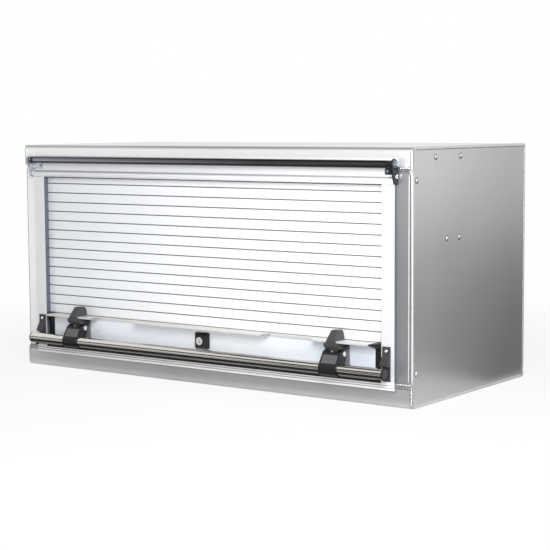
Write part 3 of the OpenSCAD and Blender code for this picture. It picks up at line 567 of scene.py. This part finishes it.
def plate(name, middle, normal, along, size, thick, corner, finish_name, body):
    """Flat plate with round corners and a broken edge."""
    place = Matrix.Translation(Vector(middle)) @ frame_on(normal, along)
    bm = bmesh.new()
    rings = []
    for inset, height in ((0, -0.0002), (0, thick * 0.7), (thick * 0.3, thick)):
        ring = []
        for right, front, start in ((1, 1, 0), (-1, 1, 90), (-1, -1, 180), (1, -1, 270)):
            for turn in range(5):
                angle = math.radians(start + 22.5 * turn)
                ring.append(bm.verts.new(place @ Vector((
                    right * (size[0] / 2 - corner) + (corner - inset) * math.cos(angle),
                    front * (size[1] / 2 - corner) + (corner - inset) * math.sin(angle),
                    height))))
        rings.append(ring)
    count = len(rings[0])
    for first, second in zip(rings, rings[1:]):
        for turn in range(count):
            after = (turn + 1) % count
            bm.faces.new((first[turn], first[after], second[after], second[turn]))
    bm.faces.new(rings[0])
    bm.faces.new(rings[-1])
    return piece_from(bm, name, finish_name, body)


def cap_disc(name, at, normal, body):
    """Shallow round disc in the face of a bar's cap. Its grey finish paints the lighter
    reflection on the cap's face.
    """
    bm = bmesh.new()
    lathe(bm, [(0.0112, -0.0003), (0.0112, 0.0003), (0.0106, 0.0007), (0.0030, 0.0007),
               (0.0026, 0.0004), (0.0006, 0.0004)],
          Matrix.Translation(Vector(at)) @ frame_on(normal, (0, 0, 1)))
    return piece_from(bm, name, "grey moulding", body)


# ---------------------------------------------------------------- operators

class CABINET_OT_camera(bpy.types.Operator):
    """Camera at the photograph's place and angle"""
    bl_idname = "cabinet.camera"
    bl_label = "Camera"

    def execute(self, context):
        data = bpy.data.cameras.new("photo camera")
        data.sensor_fit = "HORIZONTAL"
        data.sensor_width = 36.0
        data.lens = 99.9
        data.clip_end = 200.0
        turn, rise, roll = math.radians(35.826), math.radians(5.766), math.radians(-0.355)
        back = Vector((math.sin(turn) * math.cos(rise), -math.cos(turn) * math.cos(rise),
                       math.sin(rise)))
        level = Vector((math.cos(turn), math.sin(turn), 0))
        above = back.cross(level)
        right = level * math.cos(roll) + above * math.sin(roll)
        up = above * math.cos(roll) - level * math.sin(roll)
        camera = bpy.data.objects.new("photo camera", data)
        camera.matrix_world = (Matrix.Translation((2.3738, -3.2563, 0.6604))
                               @ Matrix((right, up, back)).transposed().to_4x4())
        context.scene.collection.objects.link(camera)
        context.scene.camera = camera
        return {"FINISHED"}


class CABINET_OT_studio(bpy.types.Operator):
    """Pale floor, soft lamps and white surroundings"""
    bl_idname = "cabinet.studio"
    bl_label = "Studio"

    def execute(self, context):
        setup = context.scene.cabinet_studio
        context.scene.view_settings.view_transform = "Standard"
        self.make_floor(setup)
        self.make_world(context.scene, setup)
        self.make_lamp("key lamp", (1.5, -1.9, 1.3), (1.2, 1.2), setup.key)
        self.make_card("rear floor card", 0.05, ((0.64, 0.15, 0.002), (3.4, 0.15, 0.002),
                                                 (3.4, 4.2, 0.002), (0.64, 4.2, 0.002)))
        self.make_card("front wall card", 0.16, ((-7.0, -6.0, 0.8), (3.0, -6.0, 0.8),
                                                 (3.0, -6.0, 3.6), (-7.0, -6.0, 3.6)))
        self.make_card("low wall card", 0.08, ((-1.9, -3.0, 0.003), (-0.2, -3.0, 0.003),
                                               (-0.2, -3.0, 0.19), (-1.9, -3.0, 0.19)))
        self.make_card("front floor card", 0.08, ((-1.9, -3.0, 0.0025), (-0.2, -3.0, 0.0025),
                                                  (0.6, -0.62, 0.0025), (0.1, -0.62, 0.0025)))
        self.make_card("ceiling card", 0.10, ((-2.5, -1.9, 3.2), (2.5, -1.9, 3.2),
                                              (2.5, 0.4, 3.2), (-2.5, 0.4, 3.2)))
        self.make_card("near floor card", 0.03, ((-0.7, -0.455, 0.003), (0.7, -0.455, 0.003),
                                                 (0.7, -0.33, 0.003), (-0.7, -0.33, 0.003)))
        self.make_card("right floor card", 0.06, ((0.75, -0.62, 0.002), (1.9, -3.4, 0.002),
                                                  (3.8, -2.2, 0.002), (1.7, -0.45, 0.002)))
        return {"FINISHED"}

    @staticmethod
    def make_card(name, shade_of_grey, corners):
        """Dark card that only reflections see."""
        bm = bmesh.new()
        bm.faces.new([bm.verts.new(corner) for corner in corners])
        mesh = bpy.data.meshes.new(name)
        bm.to_mesh(mesh)
        bm.free()
        card = bpy.data.objects.new(name, mesh)
        bpy.context.scene.collection.objects.link(card)
        material = bpy.data.materials.new(name)
        material.use_nodes = True
        shader = material.node_tree.nodes["Principled BSDF"]
        shader.inputs["Base Color"].default_value = (*(shade_of_grey,) * 3, 1)
        shader.inputs["Roughness"].default_value = 0.9
        card.data.materials.append(material)
        card.visible_camera = False
        card.visible_diffuse = False
        card.visible_shadow = False

    @staticmethod
    def make_floor(setup):
        """Pale floor that keeps the shadow near the cabinet and goes white farther out."""
        half = setup.floor / 2
        bm = bmesh.new()
        corners = [bm.verts.new((x * half, y * half, -0.0005))
                   for x, y in ((-1, -1), (1, -1), (1, 1), (-1, 1))]
        bm.faces.new(corners)
        mesh = bpy.data.meshes.new("studio floor")
        bm.to_mesh(mesh)
        bm.free()
        floor = bpy.data.objects.new("studio floor", mesh)
        bpy.context.scene.collection.objects.link(floor)
        material = bpy.data.materials.new("studio floor")
        material.use_nodes = True
        tree = material.node_tree
        shader = tree.nodes["Principled BSDF"]
        shader.inputs["Base Color"].default_value = (0.86, 0.86, 0.86, 1)
        shader.inputs["Roughness"].default_value = 0.8
        glow = put(tree, "ShaderNodeEmission", Color=(1, 1, 1, 1), Strength=1.0)
        rays = put(tree, "ShaderNodeLightPath")
        away = put(tree, "ShaderNodeVectorMath", operation="LENGTH")
        tree.links.new(put(tree, "ShaderNodeTexCoord").outputs["Object"], away.inputs[0])
        parts = []
        for ray, low, far in (("Is Camera Ray", 0.85, 2.2), ("Is Glossy Ray", 0.10, 3.0)):
            fade = put(tree, "ShaderNodeMapRange", interpolation_type="SMOOTHSTEP")
            tree.links.new(away.outputs["Value"], fade.inputs["Value"])
            for label, value in (("From Min", 0.5), ("From Max", far), ("To Min", low),
                                 ("To Max", 1.0)):
                fade.inputs[label].default_value = value
            part = put(tree, "ShaderNodeMath", operation="MULTIPLY")
            tree.links.new(rays.outputs[ray], part.inputs[0])
            tree.links.new(fade.outputs["Result"], part.inputs[1])
            parts.append(part)
        share = put(tree, "ShaderNodeMath", operation="MAXIMUM")
        for part, socket in zip(parts, share.inputs):
            tree.links.new(part.outputs[0], socket)
        mixed = put(tree, "ShaderNodeMixShader")
        tree.links.new(share.outputs[0], mixed.inputs["Fac"])
        tree.links.new(shader.outputs["BSDF"], mixed.inputs[1])
        tree.links.new(glow.outputs["Emission"], mixed.inputs[2])
        tree.links.new(mixed.outputs["Shader"],
                       tree.nodes["Material Output"].inputs["Surface"])
        floor.data.materials.append(material)

    @staticmethod
    def make_world(scene, setup):
        """White surroundings for the camera and reflections, dimmer as a light."""
        world = bpy.data.worlds.new("studio")
        world.use_nodes = True
        tree = world.node_tree
        surround = tree.nodes["Background"]
        rays = put(tree, "ShaderNodeLightPath")
        seen = put(tree, "ShaderNodeMath", operation="MAXIMUM")
        tree.links.new(rays.outputs["Is Camera Ray"], seen.inputs[0])
        tree.links.new(rays.outputs["Is Glossy Ray"], seen.inputs[1])
        also = put(tree, "ShaderNodeMath", operation="MAXIMUM")
        tree.links.new(seen.outputs[0], also.inputs[0])
        tree.links.new(rays.outputs["Is Transmission Ray"], also.inputs[1])
        level = put(tree, "ShaderNodeMapRange")
        tree.links.new(also.outputs[0], level.inputs["Value"])
        level.inputs["To Min"].default_value = setup.sky
        level.inputs["To Max"].default_value = 1.0
        tree.links.new(level.outputs["Result"], surround.inputs["Strength"])
        surround.inputs["Color"].default_value = (1, 1, 1, 1)
        scene.world = world

    @staticmethod
    def make_lamp(name, at, size, power):
        """Soft square lamp that looks at the middle of the cabinet."""
        data = bpy.data.lights.new(name, "AREA")
        data.shape = "RECTANGLE"
        data.size, data.size_y = size
        data.energy = power
        lamp = bpy.data.objects.new(name, data)
        aim = Vector((0, 0, 0.3)) - Vector(at)
        lamp.matrix_world = (Matrix.Translation(at)
                             @ aim.to_track_quat("-Z", "Y").to_matrix().to_4x4())
        bpy.context.scene.collection.objects.link(lamp)
        lamp.visible_camera = False


class CABINET_OT_box(bpy.types.Operator):
    """Folded sheet of the box and its rivets"""
    bl_idname = "cabinet.box"
    bl_label = "Box"

    def execute(self, context):
        width = context.scene.cabinet_details.sheet_edge
        softened("body_wrap", "mill wrap", width)
        softened("side_panel_left", "mill sheet", width)
        softened("side_panel_right", "mill sheet right", width)
        dress("panel_rivets", "rivet plating")
        for index, (low, high) in enumerate(islands("panel_rivets")):
            self.seat_rivet(f"rivet_shadow_ring_{index + 1:02d}", low, high)
        return {"FINISHED"}

    @staticmethod
    def seat_rivet(name, low, high):
        """Dark ring of sealer round a rivet's head, which also paints the shadow at the rim of
        the head.
        """
        middle, radius = (low + high) / 2, (high.y - low.y) / 2
        sign = 1 if middle.x > 0 else -1
        panel_low, panel_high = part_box("side_panel_" + SIDES[sign > 0])
        face = panel_high.x if sign > 0 else panel_low.x
        bm = bmesh.new()
        lathe(bm, [(radius + 0.0016, -0.0002), (radius + 0.0016, 0.0001),
                   (radius + 0.0012, 0.0003), (0.001, 0.0003)],
              Matrix.Translation((face, middle.y, middle.z))
              @ frame_on((sign, 0, 0), (0, 0, 1)))
        piece_from(bm, name, "sealer and painted shadow", "cabinet")


class CABINET_OT_door_frame(bpy.types.Operator):
    """Guides, header and sill round the doorway"""
    bl_idname = "cabinet.door_frame"
    bl_label = "Door frame"

    def execute(self, context):
        width = context.scene.cabinet_details.sheet_edge
        for side in SIDES:
            softened("guide_" + side, "anodised upright", width)
            dress("guide_seal_" + side, "black rubber")
        softened("header_rail", "anodised header", width)
        softened("sill_rail", "anodised sill", width)
        dress("header_seal", "black rubber")
        return {"FINISHED"}


class CABINET_OT_curtain(bpy.types.Operator):
    """Slats of the curtain"""
    bl_idname = "cabinet.curtain"
    bl_label = "Curtain"

    def execute(self, context):
        for node in SLATS:
            dress(node, "anodised slat")
        return {"FINISHED"}


class CABINET_OT_bottom_rail(bpy.types.Operator):
    """Bottom rail, its ends and its seal"""
    bl_idname = "cabinet.bottom_rail"
    bl_label = "Bottom rail"

    def execute(self, context):
        details = context.scene.cabinet_details
        softened("bottom_rail", "anodised rail", details.sheet_edge)
        for side in SIDES:
            softened("rail_end_" + side, "black moulding", details.edge)
        dress("bottom_seal", "black rubber")
        return {"FINISHED"}


class CABINET_OT_latch(bpy.types.Operator):
    """Clamps, lift bar and strikers"""
    bl_idname = "cabinet.latch"
    bl_label = "Latch"

    def execute(self, context):
        details = context.scene.cabinet_details
        for side in SIDES:
            softened("clamp_base_" + side, "clamp moulding", details.edge)
            softened("striker_" + side, "grey moulding", details.edge)
            for node in ("clamp_arm_", "bar_end_"):
                softened(node + side, "black moulding", details.edge)
            self.add_screws(side, details.screw)
            self.dress_arm(side, details.screw)
            low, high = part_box("bar_end_" + side)
            out = Vector((-1 if side == "left" else 1, 0, 0))
            middle = (low + high) / 2
            cap_disc("cap_disc_" + side,
                     Vector((low.x if side == "left" else high.x, middle.y, high.z - 0.014)),
                     out, NODES["bar_end_" + side]["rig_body"])
        dress("clamp_pins", "bright plating")
        dress("lift_bar", "stainless tube")
        return {"FINISHED"}

    @staticmethod
    def add_screws(side, size):
        low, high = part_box("striker_" + side)
        middle = (low.x + high.x) / 2
        plate_y, down = -0.2915, 0.010
        button_screw("striker_screw_" + side, (middle, plate_y, high.z - down),
                     (0, -1, 0), size, "cabinet")

    @staticmethod
    def dress_arm(side, size):
        """Screw in the arm's top and the bare plate in its front face."""
        low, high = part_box("clamp_arm_" + side)
        pin_low, pin_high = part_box("clamp_pins")
        bar_low, bar_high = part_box("lift_bar")
        body = NODES["clamp_arm_" + side]["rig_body"]
        pin = Vector(((low.x + high.x) / 2, (pin_low.y + pin_high.y) / 2,
                      (pin_low.z + pin_high.z) / 2))
        brow = pin + Vector((0, -0.014, 0.0035))
        slope = math.radians(27.2)
        up = Vector((0, -math.sin(slope), math.cos(slope)))
        button_screw("arm_screw_" + side, brow + Vector((0, math.cos(slope), math.sin(slope)))
                     * 0.0040, up, size * 0.8, body)
        bar = Vector((pin.x, (bar_low.y + bar_high.y) / 2, (bar_low.z + bar_high.z) / 2))
        sleeve = bar.y - low.y
        run = brow - bar
        lean = math.atan2(run.z, run.y) + math.acos(sleeve / run.length)
        out = Vector((0, math.cos(lean), math.sin(lean)))
        down = bar + out * sleeve - brow
        plate("label_plate_" + side, brow + down * 0.52 - out * 0.0008, out, (1, 0, 0),
              (high.x - low.x - 0.009, down.length * 0.66), 0.0011, 0.0015, "label plate", body)


class CABINET_OT_lock(bpy.types.Operator):
    """Lock in the bottom rail"""
    bl_idname = "cabinet.lock"
    bl_label = "Lock"

    def execute(self, context):
        softened("lock_housing", "black moulding", context.scene.cabinet_details.edge)
        dress("lock_cylinder", "bright plating")
        dress("lock_cam", "zinc plating")
        return {"FINISHED"}


class CABINET_OT_header_roller(bpy.types.Operator):
    """Tube in front of the header and its end plates"""
    bl_idname = "cabinet.header_roller"
    bl_label = "Header roller"

    def execute(self, context):
        details = context.scene.cabinet_details
        dress("header_roller", "dark tube")
        dress("roller_plugs", "black moulding")
        dress("roller_bolts", "blued zinc")
        for side in SIDES:
            softened("header_bracket_" + side, "bracket plating",
                     details.sheet_edge)
            low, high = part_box("header_bracket_" + side)
            inner, outer = (high.x, low.x) if side == "left" else (low.x, high.x)
            toward = -1 if side == "left" else 1
            foot_y, foot_z, foot_in = -0.286, 0.5445, 0.0065
            slot_y, slot_z, slot_bolt = -0.289, 0.5325, 0.0115
            button_screw("bracket_screw_" + side, (inner + toward * foot_in, foot_y, foot_z),
                         (0, -1, 0), details.screw * 0.8, "cabinet", "blued zinc")
            button_screw("bracket_bolt_" + side, (outer, slot_y, slot_z),
                         (toward, 0, 0), slot_bolt, "cabinet")
        return {"FINISHED"}


class CABINET_OT_drum(bpy.types.Operator):
    """Drum, axle, spring and straps behind the header"""
    bl_idname = "cabinet.drum"
    bl_label = "Drum"

    def execute(self, context):
        finishes = {"drum_bracket_left": "zinc plating", "drum_bracket_right": "zinc plating",
                    "drum_axle": "zinc plating", "drum_tube": "anodised along",
                    "drum_plugs": "black moulding", "drum_spring": "spring steel",
                    "strap_turns": "strap webbing", "leader_straps": "strap webbing"}
        for node, name in finishes.items():
            dress(node, name)
        return {"FINISHED"}


class CABINET_OT_welds(bpy.types.Operator):
    """Weld beads along the seams of the box"""
    bl_idname = "cabinet.welds"
    bl_label = "Welds"

    def execute(self, context):
        details = context.scene.cabinet_details
        width, pitch = details.bead, details.ripple
        low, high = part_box("side_panel_right")
        out, front, back, top = high.x, low.y, high.y, high.z
        jamb = low.x
        edge = out - 0.0030
        for side, sign in zip(SIDES, (-1, 1)):
            across = (0, -1, 0)
            beads = [
                ("corner", (edge, front, 0.007), (edge, front, 0.053), (0.35, -1, 0),
                 width * 1.2, 0.0022, pitch),
                ("corner_head", (edge, front, top - 0.053), (edge, front, top - 0.008),
                 (0.35, -1, 0), width, 0.0014, pitch),
                ("jamb_foot", (jamb + 0.001, front, 0.0535), (out - 0.005, front, 0.0535),
                 across, width * 1.25, 0.0026, pitch),
                ("jamb_foot_low", (jamb + 0.002, front, 0.0458), (out - 0.006, front, 0.0458),
                 across, width * 0.7, 0.0014, pitch * 1.4),
                ("jamb_head", (jamb + 0.003, front, top - 0.0490),
                 (out - 0.005, front, top - 0.0490), across, width, 0.0022, pitch),
                ("jamb_head_low", (jamb + 0.004, front, top - 0.0555),
                 (out - 0.006, front, top - 0.0555), across, width * 0.5, 0.0011,
                 pitch * 1.4),
                ("rear", (out, back - 0.0042, 0.010), (out, back - 0.0042, top - 0.010),
                 (1, 0, 0), width, 0.0013, pitch * 1.3),
                ("roof", (out, front + 0.010, top - 0.0044),
                 (out, back - 0.010, top - 0.0044), (1, 0, 0), width * 1.1, 0.0010,
                 pitch * 1.6),
                ("base", (out, front + 0.010, 0.0040), (out, back - 0.010, 0.0040),
                 (1, 0, 0), width * 0.9, 0.0008, pitch * 1.6),
            ]
            for index, (name, start, end, normal, *size) in enumerate(beads):
                start, end, normal = (Vector((sign * v[0], v[1], v[2]))
                                      for v in (start, end, normal))
                as_laid = name.startswith("jamb") or (name, side) == ("corner", "right")
                weld_bead(f"weld_{name}_{side}", start, end, normal, *size,
                          seed=index + sign * 0.7, ripple=0.6 if as_laid else 0.2,
                          finish_name="weld metal" if as_laid else "dressed weld")
            bend_r, bend_face = 0.009, 0.00885
            low_end, high_end = Vector((0, 0, 0.060)), Vector((0, 0, top - 0.062))
            for name, degrees, pitch_here, rippled, finish_name in (
                    # A dark line of sealer in the middle of the bend, which also paints the
                    # seam's shadow.
                    ("", 19.5, 0.0034, 0.8, "sealer and painted shadow"),
                    # Two bright strips paint the highlights at the edges of the bend.
                    ("inner_", -4, 0.0100, 0.1, "painted fold highlight"),
                    ("outer_", 50, 0.0100, 0.1, "painted fold highlight")):
                turn = math.radians(degrees)
                normal = Vector((sign * math.sin(turn), -math.cos(turn), 0))
                centre = (Vector((sign * (out - bend_r), front + bend_r, 0))
                          + normal * bend_face)
                weld_bead(f"seam_{name}{side}", centre + low_end, centre + high_end, normal,
                          0.0024, 0.0005, pitch_here, seed=sign, ripple=rippled,
                          finish_name=finish_name)
        return {"FINISHED"}


OPERATORS = (CABINET_OT_camera, CABINET_OT_studio, CABINET_OT_box, CABINET_OT_door_frame,
             CABINET_OT_curtain, CABINET_OT_bottom_rail, CABINET_OT_latch, CABINET_OT_lock,
             CABINET_OT_header_roller, CABINET_OT_drum, CABINET_OT_welds)
GROUPS = {"cabinet_finishes": CabinetFinishes, "cabinet_details": CabinetDetails,
          "cabinet_studio": CabinetStudio}


class CABINET_PT_sidebar(bpy.types.Panel):
    """Steps and settings of the cabinet"""
    bl_idname = "CABINET_PT_sidebar"
    bl_label = "Roll front cabinet"
    bl_space_type = "VIEW_3D"
    bl_region_type = "UI"
    bl_category = "Cabinet"

    def draw(self, context):
        for operator in OPERATORS:
            self.layout.operator(operator.bl_idname)
        for name, group in GROUPS.items():
            box = self.layout.box()
            for prop in group.__annotations__:
                box.prop(getattr(context.scene, name), prop)


def register():
    for item in (*GROUPS.values(), *OPERATORS, CABINET_PT_sidebar):
        bpy.utils.register_class(item)
    for name, group in GROUPS.items():
        setattr(bpy.types.Scene, name, bpy.props.PointerProperty(type=group))


def unregister():
    for name in GROUPS:
        delattr(bpy.types.Scene, name)
    for item in (CABINET_PT_sidebar, *reversed(OPERATORS), *reversed(GROUPS.values())):
        bpy.utils.unregister_class(item)


def main():
    register()
    for operator in OPERATORS:
        family, name = operator.bl_idname.split(".")
        getattr(getattr(bpy.ops, family), name)()


if __name__ == "__main__":
    main()
